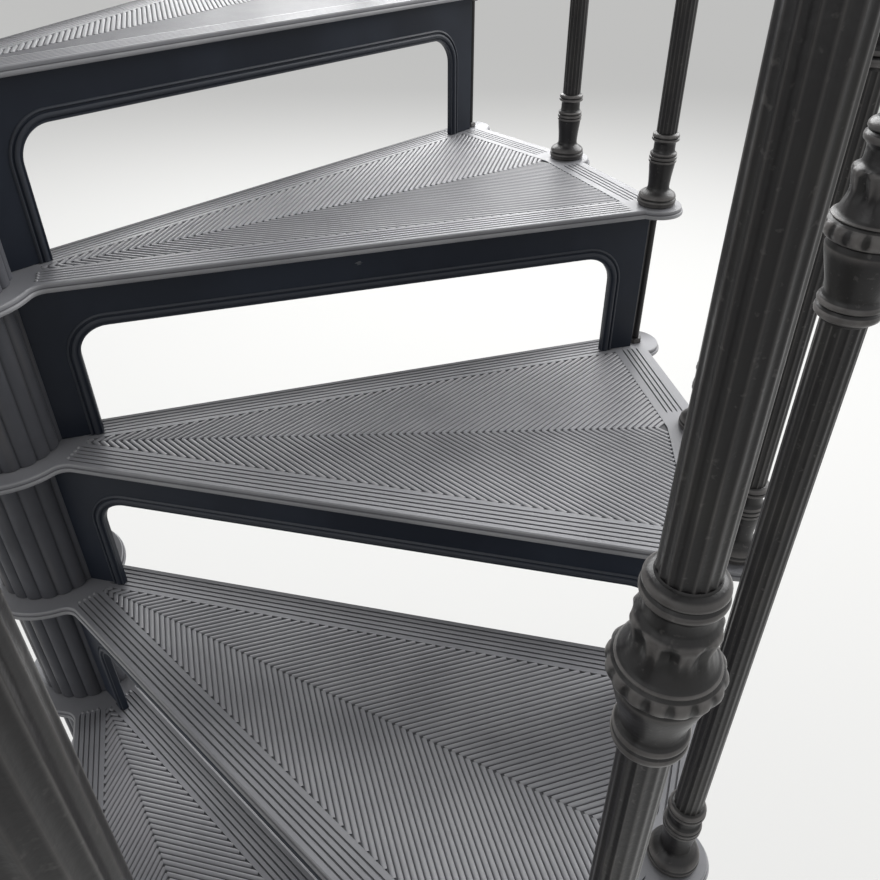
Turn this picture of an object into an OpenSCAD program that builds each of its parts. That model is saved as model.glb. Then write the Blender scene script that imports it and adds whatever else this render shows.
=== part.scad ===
// Cast iron spiral stair: twelve fan-shaped treads on a fluted column, one full turn.
// Origin: column axis at floor level, +Z up. Step 1 has its front ear along +X,
// and the stair climbs counter-clockwise seen from above.

/* [Steps] */
// Height from one tread top to the next
rise = 200; // [180:1:220]
// Angle from one step to the next
step_angle = 30; // [27:0.5:30]
// Distance of the ear centres from the column axis
ear_radius = 827; // [650:1:1000]

/* [Treads] */
// Thickness of the treads
tread_t = 10; // [8:0.5:14]
// Overhang of the front and back edges past the line of their ears
edge_over = 23; // [16:1:28]
// Overhang of the outer edge past the line between its ears
outer_over = 12; // [6:1:18]
// Radius of the round ears
ear_lobe_r = 35; // [28:1:44]
// Radius of the collar around the column
collar_r = 89; // [78:1:100]
// Radius of the hollow curve from the collar to the front edge
collar_blend_r = 18; // [10:1:40]
// Depth of the sunk field for the ribbed pattern
field_depth = 2; // [1:0.1:3]
// Smooth ring between the collar and the sunk field
collar_border_w = 4; // [2:0.5:12]
// Width of the border along the front and back edges
border_w = 43; // [36:1:60]
// Width of the border along the outer edge
outer_border_w = 49; // [30:1:60]

/* [Risers] */
// Depth of the fascia under the tread top
fascia_depth = 60; // [45:1:90]
// Thickness of the riser panel
riser_t = 8; // [6:0.5:12]
// Set-back of the riser panel behind the front edge
riser_back = 11; // [6:0.5:14]
// Width of the inner leg
inner_leg_w = 46; // [30:1:70]
// Width of the outer leg
outer_leg_w = 47; // [30:1:70]
// Distance of the outer leg from the ear centre
outer_leg_gap = 12; // [8:1:20]
// Radius of the opening's upper corners
opening_r = 36; // [15:1:50]
// Width of the bead around the opening
bead_w = 15; // [8:0.5:20]
// Height of the bead over the panel
bead_h = 3; // [1.5:0.5:4.5]

/* [Column] */
// Radius of the column drums
drum_r = 64; // [55:1:75]
// Wall of the column drums
drum_wall = 14; // [10:1:20]
// Radius of the flutes on the drums
drum_flute_r = 14; // [8:0.5:18]
// Depth of the flutes on the drums
drum_flute_depth = 4; // [2:0.5:6]
// Radius of the centre post
post_r = 24; // [18:1:30]
// Thickness of the base flange
base_t = 14; // [10:1:20]
// Radius of the base flange
base_r = 115; // [112:1:150]
// Radius of the circle of floor bolts
bolt_circle_r = 94; // [85:1:98]
// Radius of the floor bolt holes
bolt_hole_r = 7; // [5:0.5:9]
// Height of the cap's dome
cap_h = 42; // [20:1:70]

/* [Balusters] */
// Radius of the baluster tubes
tube_r = 12.5; // [10:0.5:16]
// Radius of the baluster's foot ring
foot_r = 24; // [18:0.5:28]
// Height of the baluster's base
base_h = 88; // [60:1:110]
// Widest radius of the carved ornament
ornament_r = 24.5; // [18:0.5:30]
// Height of the carved ornament
ornament_h = 115; // [80:1:140]
// Height of the ornament's middle over the tread, at a front ear
ornament_mid = 492; // [400:1:600]
// How much higher than that the ornament sits at a mid ear
ornament_lift = 116; // [80:1:140]
// Radius of the rods that tie the front ears to the treads below
tie_r = 5; // [4:0.5:8]

/* [Handrail] */
// Height of the rail's underside over the nosings
rail_height = 900; // [800:1:1000]
// Width of the handrail
rail_w = 46; // [36:1:60]
// Height of the handrail
rail_h = 30; // [20:1:45]
// Radius of the ball under the rail
rail_ball_r = 15; // [13:0.5:20]

/* [Hidden] */
$fn = 48;
step_count = 12;
rail_parts = 4;
rail_rings = 18;
drum_flutes = 16;
floor_bolts = 4;
fit_gap = 0.3;
cut_over = 2;
mid_share = 0.5;
// Sections of the baluster's base and of its ornament, as shares of their radius and height.
base_shares = [
    [0, 0], [0.9, 0], [1, 0.06], [1, 0.13], [0.88, 0.2], [0.66, 0.25], [0.6, 0.34], [0.65, 0.6],
    [0.72, 0.64], [0.72, 0.74], [0.56, 0.78], [0.56, 0.87], [0.7, 0.91], [0.7, 0.97], [0.52, 1], [0, 1]
];
ornament_shares = [
    [0, 0], [0.56, 0], [0.76, 0.07], [0.76, 0.16], [0.61, 0.23], [0.66, 0.3], [0.86, 0.44],
    [1, 0.51], [1, 0.56], [0.88, 0.61], [0.7, 0.66], [0.74, 0.73], [0.6, 0.8],
    [0.6, 0.86], [0.72, 0.91], [0.72, 0.97], [0.52, 1], [0, 1]
];
rail_shares = [
    [-0.5, 0.12], [-0.44, 0], [0.44, 0], [0.5, 0.12], [0.5, 0.5], [0.4, 0.84],
    [0.2, 1], [-0.2, 1], [-0.4, 0.84], [-0.5, 0.5]
];
cap_lip_share = 1 / 6;
bend_shares = [1 / 4, 3 / 4];
iron = [0.27, 0.28, 0.31];
iron_dark = [0.17, 0.18, 0.21];
rail_colour = [0.2, 0.2, 0.2];
riser_front = riser_back - edge_over;
riser_end = ear_radius - outer_leg_gap;
rise_slope = rise / (ear_radius * step_angle * PI / 180);
rail_tilt = atan(rise_slope);

// Unit vectors along an angle and square to it.
function dir(a) = [cos(a), sin(a)];
function across(a) = [-sin(a), cos(a)];
// Where the line through p along d meets the line through q along e.
function crossing(p, d, q, e) = p + d * (cross(q - p, e) / cross(d, e));
function top_of(n) = n * rise;

// Corners of the tread's fan, with its side edges and its outer edge moved inwards.
function fan_corners(side_in, outer_in) =
    let (
        front = (side_in - edge_over) * across(0),
        back = (edge_over - side_in) * across(step_angle),
        bends = bend_shares * step_angle,
        outer_1 = ear_radius * dir(0) + (outer_over - outer_in) * dir(bends[0]),
        outer_2 = ear_radius * dir(step_angle) + (outer_over - outer_in) * dir(bends[1])
    )
    [
        crossing(front, dir(0), back, dir(step_angle)),
        crossing(front, dir(0), outer_1, across(bends[0])),
        crossing(outer_1, across(bends[0]), outer_2, across(bends[1])),
        crossing(outer_2, across(bends[1]), back, dir(step_angle))
    ];

module at_step(n) {
    rotate((n - 1) * step_angle) translate([0, 0, top_of(n)]) children();
}

// The collar runs into the front edge on a hollow curve, which cuts both by a hair.
module collar_blend() {
    reach = collar_r + collar_blend_r - fit_gap;
    drop = edge_over + collar_blend_r - fit_gap;
    along = sqrt(reach * reach - drop * drop);
    difference() {
        polygon([[0, 0], [along, -drop], [along, 0]]);
        translate([along, -drop]) circle(r = collar_blend_r);
    }
}

module ears() {
    for (share = [0, mid_share, 1])
        rotate(share * step_angle) translate([ear_radius, 0]) circle(r = ear_lobe_r);
}

module tread_outline() {
    circle(r = collar_r);
    polygon(fan_corners(0, 0));
    collar_blend();
    ears();
}

module tread(n) {
    color(iron) at_step(n) difference() {
        translate([0, 0, -tread_t]) linear_extrude(tread_t) tread_outline();
        translate([0, 0, -field_depth]) linear_extrude(field_depth + cut_over) difference() {
            polygon(fan_corners(border_w, outer_border_w));
            circle(r = collar_r + collar_border_w);
            ears();
        }
        translate([0, 0, -tread_t - cut_over])
            cylinder(r = post_r + fit_gap, h = tread_t + 2 * cut_over);
    }
}

// Outline of the riser's opening, open at the bottom, with rounded upper corners.
module opening_outline(grow) {
    left = drum_r + inner_leg_w - grow;
    right = riser_end - outer_leg_w + grow;
    top = grow - fascia_depth;
    r = opening_r + grow;
    translate([left, -rise - cut_over]) square([right - left, rise + cut_over + top - r]);
    translate([left + r, -rise - cut_over]) square([right - left - 2 * r, rise + cut_over + top]);
    for (x = [left + r, right - r]) translate([x, top - r]) circle(r = r);
}

// Stands a drawing in the X-Z plane up, so that its thickness runs along Y.
module stand_up(front, thick) {
    translate([0, front + thick, 0]) rotate([90, 0, 0]) linear_extrude(thick) children();
}

module riser_panel() {
    translate([drum_r, -rise]) square([riser_end - drum_r, rise - tread_t]);
}

module riser(n) {
    color(iron_dark) at_step(n) difference() {
        union() {
            stand_up(riser_front, riser_t) difference() {
                riser_panel();
                opening_outline(0);
            }
            stand_up(riser_front - bead_h, bead_h + riser_t) difference() {
                intersection() {
                    riser_panel();
                    opening_outline(bead_w);
                }
                opening_outline(0);
            }
        }
        if (n == 1)
            translate([0, 0, -rise]) cylinder(r = base_r + fit_gap, h = base_t);
    }
}

module base_flange() {
    color(iron_dark) difference() {
        cylinder(r = base_r, h = base_t);
        for (i = [0 : floor_bolts - 1])
            rotate((i + mid_share) * 360 / floor_bolts) translate([bolt_circle_r, 0, -cut_over])
                cylinder(r = bolt_hole_r, h = base_t + 2 * cut_over);
    }
}

module centre_post() {
    color(iron_dark) translate([0, 0, base_t])
        cylinder(r = post_r, h = top_of(step_count) - base_t);
}

module drum_outline() {
    difference() {
        circle(r = drum_r);
        for (i = [0 : drum_flutes - 1])
            rotate((i + mid_share) * 360 / drum_flutes)
                translate([drum_r - drum_flute_depth + drum_flute_r, 0]) circle(r = drum_flute_r);
        circle(r = drum_r - drum_wall);
    }
}

module column_drums() {
    color(iron) for (n = [1 : step_count]) {
        foot = n == 1 ? base_t : top_of(n - 1);
        rotate((n - 1) * step_angle) translate([0, 0, foot])
            linear_extrude(top_of(n) - tread_t - foot) drum_outline();
    }
}

module column_cap() {
    lip = cap_h * cap_lip_share;
    dome_r = drum_r * drum_r / cap_h;
    color(iron) translate([0, 0, top_of(step_count)]) rotate_extrude() {
        square([drum_r, lip]);
        intersection() {
            square([drum_r - lip, cap_h]);
            translate([0, cap_h - dome_r]) circle(r = dome_r);
        }
    }
}

module tie_rods() {
    color(iron_dark) for (n = [1 : step_count])
        at_step(n) translate([ear_radius, 0, -rise]) cylinder(r = tie_r, h = rise - tread_t);
}

module section(shares, r, h) {
    polygon([for (share = shares) [r * share[0], h * share[1]]]);
}

// A baluster that stands on a tread and carries the rail, with the ornament at a given height.
module baluster(rail_z, ornament_z) {
    ball_z = rail_z - (rail_ball_r + fit_gap) / cos(rail_tilt);
    rotate_extrude() {
        square([tube_r, ball_z]);
        section(base_shares, foot_r, base_h);
        translate([0, ornament_z - ornament_h / 2]) section(ornament_shares, ornament_r, ornament_h);
        translate([0, ball_z]) intersection() {
            circle(r = rail_ball_r);
            translate([0, -rail_ball_r]) square([rail_ball_r, 2 * rail_ball_r]);
        }
    }
}

module balusters(n) {
    half_rise = rise * mid_share;
    color(iron_dark) at_step(n) {
        translate([ear_radius, 0, 0]) baluster(rail_height, ornament_mid);
        rotate(mid_share * step_angle) translate([ear_radius, 0, 0])
            baluster(rail_height + half_rise, ornament_mid + ornament_lift);
        if (n == step_count)
            rotate(step_angle) translate([ear_radius, 0, 0])
                baluster(rail_height + rise, ornament_mid + rise);
    }
}

// One stretch of the helical handrail, swept from its section.
module handrail(part) {
    span = step_count * step_angle / rail_parts;
    count = len(rail_shares);
    function ring_point(i, p) =
        let (a = (part - 1) * span + i * span / rail_rings)
        [
            (ear_radius + p[0] * rail_w) * cos(a),
            (ear_radius + p[0] * rail_w) * sin(a),
            rail_height + rise + a / step_angle * rise + p[1] * rail_h
        ];
    points = [for (i = [0 : rail_rings]) for (p = rail_shares) ring_point(i, p)];
    sides = [
        for (i = [0 : rail_rings - 1]) for (j = [0 : count - 1])
            let (a = i * count + j, b = i * count + (j + 1) % count)
            each [[a, b, b + count], [a, b + count, a + count]]
    ];
    ends = [
        [for (j = [count - 1 : -1 : 0]) j],
        [for (j = [0 : count - 1]) rail_rings * count + j]
    ];
    color(rail_colour) polyhedron(points, concat(sides, ends));
}

base_flange();
centre_post();
column_drums();
column_cap();
tie_rods();
tread(1);  // tread_01
tread(2);  // tread_02
tread(3);  // tread_03
tread(4);  // tread_04
tread(5);  // tread_05
tread(6);  // tread_06
tread(7);  // tread_07
tread(8);  // tread_08
tread(9);  // tread_09
tread(10);  // tread_10
tread(11);  // tread_11
tread(12);  // tread_12
riser(1);  // riser_01
riser(2);  // riser_02
riser(3);  // riser_03
riser(4);  // riser_04
riser(5);  // riser_05
riser(6);  // riser_06
riser(7);  // riser_07
riser(8);  // riser_08
riser(9);  // riser_09
riser(10);  // riser_10
riser(11);  // riser_11
riser(12);  // riser_12
balusters(1);  // balusters_01
balusters(2);  // balusters_02
balusters(3);  // balusters_03
balusters(4);  // balusters_04
balusters(5);  // balusters_05
balusters(6);  // balusters_06
balusters(7);  // balusters_07
balusters(8);  // balusters_08
balusters(9);  // balusters_09
balusters(10);  // balusters_10
balusters(11);  // balusters_11
balusters(12);  // balusters_12
handrail(1);  // handrail_1
handrail(2);  // handrail_2
handrail(3);  // handrail_3
handrail(4);  // handrail_4
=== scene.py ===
"""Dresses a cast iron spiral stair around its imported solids.

Twelve ribbed fan treads climb counter-clockwise round a reeded column. They stand on risers with a moulded
opening, and turned balusters along their outer edge carry a helical rail. Sizes are in metres, in the
part's own frame: the column's axis is at the origin, the floor is at height zero, and step 1 has its front
ear along +X.
"""

import logging
import math
from dataclasses import dataclass
from enum import Enum
from typing import Callable, Sequence

import bmesh
import bpy
import numpy as np
from mathutils import Matrix, Vector, geometry


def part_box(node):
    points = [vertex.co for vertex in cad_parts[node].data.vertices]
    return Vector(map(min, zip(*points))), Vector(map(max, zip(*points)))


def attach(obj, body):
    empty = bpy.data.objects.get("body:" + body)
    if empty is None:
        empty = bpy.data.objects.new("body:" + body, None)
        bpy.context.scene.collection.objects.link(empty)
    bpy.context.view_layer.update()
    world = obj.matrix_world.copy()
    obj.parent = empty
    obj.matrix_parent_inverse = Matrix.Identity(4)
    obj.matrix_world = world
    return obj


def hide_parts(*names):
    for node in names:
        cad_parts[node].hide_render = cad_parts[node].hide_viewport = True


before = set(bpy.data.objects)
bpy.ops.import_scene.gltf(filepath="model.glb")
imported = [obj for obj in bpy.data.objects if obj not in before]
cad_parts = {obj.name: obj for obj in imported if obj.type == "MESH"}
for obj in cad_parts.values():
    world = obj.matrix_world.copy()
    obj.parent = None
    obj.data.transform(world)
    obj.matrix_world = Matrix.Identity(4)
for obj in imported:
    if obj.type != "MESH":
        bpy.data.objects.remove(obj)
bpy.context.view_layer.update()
log = logging.getLogger("stair")

MILLIMETRE = 0.001

Profile = Sequence[tuple[float, float]]
Pocket = Sequence[tuple[float, float, float]]
Colour = tuple[float, float, float, float]
Tones = np.ndarray | float
Swell = Callable[[np.ndarray, float], np.ndarray]
Socket = bpy.types.NodeSocket
Node = bpy.types.Node


class Slot(Enum):
    """The record's material slots."""

    TREAD = "tread_paint"
    RISER = "riser_paint"
    COLUMN = "column_paint"
    BALUSTER = "baluster_paint"
    RAIL = "rail_paint"


@dataclass(frozen=True)
class Layout:
    """Where the steps stand.

    Attributes:
        rise: Height from one tread top to the next.
        tread_t: Thickness of the treads.
        steps: How many steps the stair has.
        turn: Angle from one step to the next.
        ear_radius: Distance of the ear centres from the column's axis.
    """

    rise: float
    tread_t: float
    steps: int = 12
    turn: float = math.radians(30)
    ear_radius: float = 0.827

    @classmethod
    def from_frame(cls) -> "Layout":
        """Measures the rise and the treads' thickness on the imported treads."""
        low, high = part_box("tread_01")
        return cls(rise=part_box("tread_02")[1].z - high.z, tread_t=high.z - low.z)

    def place(self, step: int) -> Matrix:
        """The turn and lift that bring a step's own frame to its place in the stair."""
        return Matrix.Translation((0, 0, step * self.rise)) @ Matrix.Rotation((step - 1) * self.turn, 4, "Z")


def direction(angle: float) -> np.ndarray:
    """Unit vector at an angle in the plan."""
    return np.array([math.cos(angle), math.sin(angle)])


def arc(centre: Sequence[float], radius: float, start: float, end: float, count: int) -> np.ndarray:
    """Points on an arc in a plane, both ends included.

    Args:
        centre: The arc's centre.
        radius: The arc's radius.
        start: Angle of the first point.
        end: Angle of the last point.
        count: Number of points.

    Returns:
        The points, one row each.
    """
    angles = np.linspace(start, end, count)
    return np.asarray(centre) + radius * np.column_stack((np.cos(angles), np.sin(angles)))


def inset(loop: np.ndarray, distance: float, blunt: float = 0.6) -> np.ndarray:
    """Moves each point of a counter-clockwise loop inwards, along the bisector of its two edges.

    Args:
        loop: The loop's points.
        distance: How far its edges move.
        blunt: Corners whose normals' sum has a smaller square than this move less than they would.

    Returns:
        The moved points.
    """
    edges = np.roll(loop, -1, axis=0) - loop
    normals = np.column_stack((-edges[:, 1], edges[:, 0]))
    normals /= np.linalg.norm(normals, axis=1)[:, None]
    sums = normals + np.roll(normals, 1, axis=0)
    sums /= np.maximum(np.sum(sums * sums, axis=1), blunt)[:, None] / 2
    return loop + distance * sums


def inside(points: np.ndarray, loop: np.ndarray) -> np.ndarray:
    """Which of the points lie inside a closed loop, by the even-odd rule.

    Args:
        points: The points to test.
        loop: The loop's points.

    Returns:
        True for each point that lies inside.
    """
    hits = np.zeros(len(points), bool)
    for a, b in zip(loop, np.roll(loop, -1, axis=0)):
        spans = (a[1] > points[:, 1]) != (b[1] > points[:, 1])
        with np.errstate(divide="ignore", invalid="ignore"):
            x = a[0] + (points[:, 1] - a[1]) * (b[0] - a[0]) / (b[1] - a[1])
        hits ^= spans & (points[:, 0] < x)
    return hits


def at_height(loop: np.ndarray, z: float) -> np.ndarray:
    """A flat loop laid at a height."""
    return np.column_stack((loop, np.full(len(loop), z)))


def relief(profile: Profile, reach: float = 0.0018, depth: float = 0.0005) -> np.ndarray:
    """How far each point of a profile stands out of its neighbourhood.

    Args:
        profile: Distance outwards and height of each point, from the bottom up.
        reach: How far along the profile the neighbourhood goes, each way.
        depth: The step that counts in full.

    Returns:
        A number for each point, from -1 in a groove to 1 on a crest.
    """
    points = np.asarray(profile, float)
    along = np.concatenate(([0.0], np.cumsum(np.linalg.norm(np.diff(points, axis=0), axis=1))))
    before, after = (np.column_stack([np.interp(along + shift, along, column) for column in points.T])
                     for shift in (-reach, reach))
    chord = after - before
    outward = np.column_stack((chord[:, 1], -chord[:, 0])) / np.linalg.norm(chord, axis=1)[:, None]
    return np.clip(np.sum((points - (before + after) / 2) * outward, axis=1) / depth, -1, 1)


class Draft:
    """Points, faces and wear of a piece, gathered before they become an object.

    Each point has a tone: below 0 in a groove, painted darker for dirt and painted shade; above 0 on a crest,
    painted lighter for wear and painted highlight.

    Attributes:
        TONE: Name of the attribute that carries the tones.
        WELD: Points nearer to each other than this become one.
    """

    TONE = "tone"
    WELD = 1e-5

    def __init__(self) -> None:
        """Starts an empty draft."""
        self.points = np.empty((0, 3))
        self.tones = np.empty(0)
        self.faces: list[tuple[int, ...]] = []

    def add(self, points: np.ndarray, faces: Sequence[Sequence[int]], tones: Tones = 0.0) -> None:
        """Adds points with their tones, and faces that number them from zero.

        Args:
            points: The new points.
            faces: The new faces.
            tones: The points' tones, or one for all.
        """
        start = len(self.points)
        self.points = np.vstack((self.points, np.asarray(points, float).reshape(-1, 3)))
        self.tones = np.concatenate((self.tones, np.broadcast_to(tones, len(self.points) - start)))
        self.faces += [tuple(start + int(i) for i in face) for face in faces]

    def absorb(self, other: "Draft", matrix: Matrix | None = None) -> "Draft":
        """Adds another draft, moved by a matrix, and returns this draft.

        Args:
            other: The draft to add.
            matrix: Where it goes, or None to leave it.

        Returns:
            This draft.
        """
        turn = np.array(matrix or Matrix.Identity(4))
        self.add(other.points @ turn[:3, :3].T + turn[:3, 3], other.faces, other.tones)
        return self

    def absorb_mesh(self, mesh: bpy.types.Mesh) -> "Draft":
        """Adds a mesh, and returns this draft.

        Args:
            mesh: A mesh with tones.

        Returns:
            This draft.
        """
        points, tones = np.empty(len(mesh.vertices) * 3), np.zeros(len(mesh.vertices))
        mesh.vertices.foreach_get("co", points)
        mesh.attributes[self.TONE].data.foreach_get("value", tones)
        self.add(points, [tuple(face.vertices) for face in mesh.polygons], tones)
        return self

    def loft(self, rings: Sequence[np.ndarray], closed: bool = False, capped: bool = True,
             tones: Tones = 0.0) -> None:
        """Skins rings of as many points each.

        Args:
            rings: The rings.
            closed: Whether the last ring joins the first.
            capped: Whether the first and last rings are filled.
            tones: The points' tones, or what spreads to one row a ring.
        """
        size, total = len(rings[0]), len(rings)
        faces: list[Sequence[int]] = []
        for i in range(total if closed else total - 1):
            low, high = i * size, (i + 1) % total * size
            faces += [(low + j, low + (j + 1) % size, high + (j + 1) % size, high + j) for j in range(size)]
        if capped and not closed:
            faces += [range(size - 1, -1, -1), range((total - 1) * size, total * size)]
        self.add(np.vstack(rings), faces, np.broadcast_to(tones, (total, size)).ravel())

    def lathe(self, profile: Profile, segments: int, swell: Swell | None = None,
              crest: float = 0.0007) -> None:
        """Turns a profile about the Z axis.

        Args:
            profile: Radius and height of each point, from the bottom up.
            segments: Number of points round the axis.
            swell: Gives the factor on the radius at each angle, for a height.
            crest: How far a point stands out of its ring where its tone is full, painted lighter for wear and
                painted highlight.
        """
        angles = np.linspace(0, 2 * math.pi, segments, endpoint=False)
        circle = np.column_stack((np.cos(angles), np.sin(angles)))
        rings, tones = [], []
        for (radius, height), tone in zip(profile, relief(profile)):
            reach = radius * (swell(angles, height) if swell else np.ones(segments))
            rings.append(at_height(circle * reach[:, None], height))
            # Points standing out of their ring are painted lighter and sunk points darker: wear and dirt, and
            # painted highlight and shade.
            tones.append(np.clip(tone + (reach - reach.mean()) / crest, -1, 1))
        self.loft(rings, tones=np.array(tones))

    def to_mesh(self, name: str) -> bpy.types.Mesh:
        """Makes the draft a mesh whose points carry their tones.

        Args:
            name: The mesh's name.

        Returns:
            The mesh.
        """
        mesh = bpy.data.meshes.new(name)
        mesh.from_pydata(self.points.tolist(), [], self.faces)
        tone = mesh.attributes.new(self.TONE, "FLOAT", "POINT")
        tone.data.foreach_set("value", self.tones.astype(np.float32))
        return mesh

    def to_object(self, name: str, material: bpy.types.Material, crease: float = 35) -> bpy.types.Object:
        """Makes the draft an object in the scene.

        Args:
            name: The piece's name.
            material: Its finish.
            crease: Edges sharper than this angle, in degrees, stay sharp in the shading.

        Returns:
            The new object, at the origin, with its faces outwards.
        """
        mesh = self.to_mesh(name)
        work = bmesh.new()
        work.from_mesh(mesh)
        bmesh.ops.remove_doubles(work, verts=work.verts, dist=self.WELD)
        bmesh.ops.recalc_face_normals(work, faces=work.faces)
        work.to_mesh(mesh)
        work.free()
        mesh.polygons.foreach_set("use_smooth", np.ones(len(mesh.polygons), bool))
        mesh.set_sharp_from_angle(angle=math.radians(crease))
        mesh.materials.append(material)
        made = bpy.data.objects.new(name, mesh)
        bpy.context.scene.collection.objects.link(made)
        return made

    def fit(self, name: str, node: str, slot: Slot, material: bpy.types.Material, crease: float = 35) -> None:
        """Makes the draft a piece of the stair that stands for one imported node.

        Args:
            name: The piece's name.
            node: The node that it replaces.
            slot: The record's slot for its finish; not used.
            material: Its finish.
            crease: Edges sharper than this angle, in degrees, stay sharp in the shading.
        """
        piece = self.to_object(name, material, crease)
        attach(piece, "root")
        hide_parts(node)


class Nodes:
    """A node tree, and the one way in which nodes are added to it."""

    def __init__(self, tree: bpy.types.NodeTree) -> None:
        """Wraps a tree."""
        self.tree = tree

    def node(self, kind: str, settings: dict | None = None, inputs: dict | None = None) -> Node:
        """Adds a node.

        Args:
            kind: The node's type.
            settings: Its own settings, which are set first.
            inputs: Numbers, colours or links for its sockets, by name or index.

        Returns:
            The new node.
        """
        made = self.tree.nodes.new(kind)
        for key, value in (settings or {}).items():
            setattr(made, key, value)
        for key, value in (inputs or {}).items():
            self.feed(made.inputs[key], value)
        return made

    def feed(self, socket: Socket, value: object) -> None:
        """Links a value or a socket to an input, or sets the input to a plain value.

        Args:
            socket: The input.
            value: What it gets.
        """
        source = value.socket if isinstance(value, Value) else value
        if isinstance(source, Socket):
            self.tree.links.new(source, socket)
        else:
            socket.default_value = source

    def vector(self, x: object = 0.0, y: object = 0.0, z: object = 0.0) -> Socket:
        """Joins three numbers to a vector."""
        return self.node("ShaderNodeCombineXYZ", None, {0: x, 1: y, 2: z}).outputs[0]

    def split(self, vector: Socket) -> list["Value"]:
        """Parts a vector into its three numbers."""
        return [Value(self, part) for part in self.node("ShaderNodeSeparateXYZ", None, {0: vector}).outputs]

    def seen(self) -> "Value":
        """1 where the camera, a reflection or glass looks, so that all three see the same backdrop.

        Returns:
            The mask.
        """
        path = self.node("ShaderNodeLightPath").outputs
        rays = ("Camera", "Glossy", "Transmission")
        camera, glossy, clear = (Value(self, path[f"Is {ray} Ray"]) for ray in rays)
        return camera.most(glossy).most(clear)


class Value:
    """A number in a node tree, so that its maths reads as an expression."""

    def __init__(self, nodes: Nodes, socket: Socket) -> None:
        """Wraps an output socket."""
        self.nodes = nodes
        self.socket = socket

    def math(self, operation: str, *operands: "Value | float") -> "Value":
        """Adds a Math node on these operands, in their order."""
        node = self.nodes.node("ShaderNodeMath", {"operation": operation}, dict(enumerate(operands)))
        return Value(self.nodes, node.outputs[0])

    def __add__(self, other: "Value | float") -> "Value":
        """Sum."""
        return self.math("ADD", self, other)

    def __radd__(self, other: float) -> "Value":
        """Sum with a number on the left."""
        return self.math("ADD", other, self)

    def __sub__(self, other: "Value | float") -> "Value":
        """Difference."""
        return self.math("SUBTRACT", self, other)

    def __rsub__(self, other: float) -> "Value":
        """Difference from a number on the left."""
        return self.math("SUBTRACT", other, self)

    def __mul__(self, other: "Value | float") -> "Value":
        """Product."""
        return self.math("MULTIPLY", self, other)

    def __rmul__(self, other: float) -> "Value":
        """Product with a number on the left."""
        return self.math("MULTIPLY", other, self)

    def least(self, other: "Value | float") -> "Value":
        """The lesser of two."""
        return self.math("MINIMUM", self, other)

    def most(self, other: "Value | float") -> "Value":
        """The greater of two."""
        return self.math("MAXIMUM", self, other)

    def ramp(self, low: float, high: float) -> "Value":
        """Runs smoothly from 0 at low to 1 at high.

        Args:
            low: Where it starts.
            high: Where it ends.

        Returns:
            The ramped number.
        """
        node = self.nodes.node("ShaderNodeMapRange", {"interpolation_type": "SMOOTHSTEP"},
                               {"Value": self, "From Min": low, "From Max": high})
        return Value(self.nodes, node.outputs["Result"])


class Graph(Nodes):
    """A material's nodes.

    Attributes:
        FAINT: Tones up to this show neither wear and painted highlight nor dirt and painted shade.
    """

    FAINT = 0.1

    def __init__(self, name: str) -> None:
        """Starts a material with a Principled shader.

        Args:
            name: The material's name.
        """
        self.material = bpy.data.materials.new(name)
        self.material.use_nodes = True
        super().__init__(self.material.node_tree)
        self.shader = self.tree.nodes["Principled BSDF"]
        self.place = self.node("ShaderNodeTexCoord").outputs["Object"]

    def noise(self, scale: float, detail: float = 3, stretch: Sequence[float] = (1, 1, 1),
              rough: float = 0.5) -> Value:
        """Noise over the surface.

        Args:
            scale: Bumps per metre.
            detail: Number of finer layers.
            stretch: Factor on the pattern's frequency along each axis.
            rough: How strong the finer layers are.

        Returns:
            The noise, around one half.
        """
        mapped = self.node("ShaderNodeMapping", None, {"Vector": self.place, "Scale": stretch})
        node = self.node("ShaderNodeTexNoise", None, {"Vector": mapped.outputs[0], "Scale": scale,
                                                      "Detail": detail, "Roughness": rough})
        return Value(self, node.outputs["Fac"])

    def wear_and_painted_light(self) -> tuple[Value, Value]:
        """How much each point of a piece is painted lighter, for wear and painted highlight, and darker, for
        dirt and painted shade, from its tone.
        """
        tone = Value(self, self.node("ShaderNodeAttribute", {"attribute_name": Draft.TONE}).outputs["Fac"])
        return tone.ramp(self.FAINT, 1), (0 - tone).ramp(self.FAINT, 1)

    def blend(self, factor: Value | float, first: object, second: object) -> Socket:
        """Mixes two colours, the second where the factor is 1."""
        return self.node("ShaderNodeMix", {"data_type": "RGBA"}, {0: factor, 6: first, 7: second}).outputs[2]

    def finish(self, colour: object, roughness: Value | float, height: Value | None = None,
               strength: float = 0.3, depth: float = 0.0004, **constants: float) -> bpy.types.Material:
        """Feeds the shader and returns the material.

        Args:
            colour: Base colour or a link to it.
            roughness: Roughness.
            height: Height of the fine relief, from 0 to 1.
            strength: How strong the relief shows.
            depth: The relief's depth in metres.
            **constants: Other inputs of the shader, set to plain numbers.

        Returns:
            The finished material.
        """
        self.feed(self.shader.inputs["Base Color"], colour)
        self.feed(self.shader.inputs["Roughness"], roughness)
        for key, value in constants.items():
            self.shader.inputs[key.replace("_", " ")].default_value = value
        if height is not None:
            bump = self.node("ShaderNodeBump", None,
                             {"Height": height, "Strength": strength, "Distance": depth})
            self.feed(self.shader.inputs["Normal"], bump.outputs["Normal"])
        return self.material


@dataclass(frozen=True)
class Paint:
    """What every paint on the stair has.

    Attributes:
        paint: Colour of the sound paint.
        wear_and_highlight: Colour where it is rubbed, which also serves as painted highlight on crests.
        cloud_scale: How fine the clouds in it are, in bumps per metre.
        grain_scale: How fine its grain is.
        gloss: Roughness where it is smoothest.
        sheen: Specular level.
        bump: Strength of the grain, and its depth.
    """

    paint: Colour
    wear_and_highlight: Colour
    cloud_scale: float
    grain_scale: float
    gloss: float
    sheen: float
    bump: tuple[float, float]

    def coat(self, g: Graph, colour: Socket, roughness: Value, height: Value) -> bpy.types.Material:
        """Ends a material with this paint's sheen and grain."""
        return g.finish(colour, roughness, height, *self.bump, Specular_IOR_Level=self.sheen)


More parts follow.
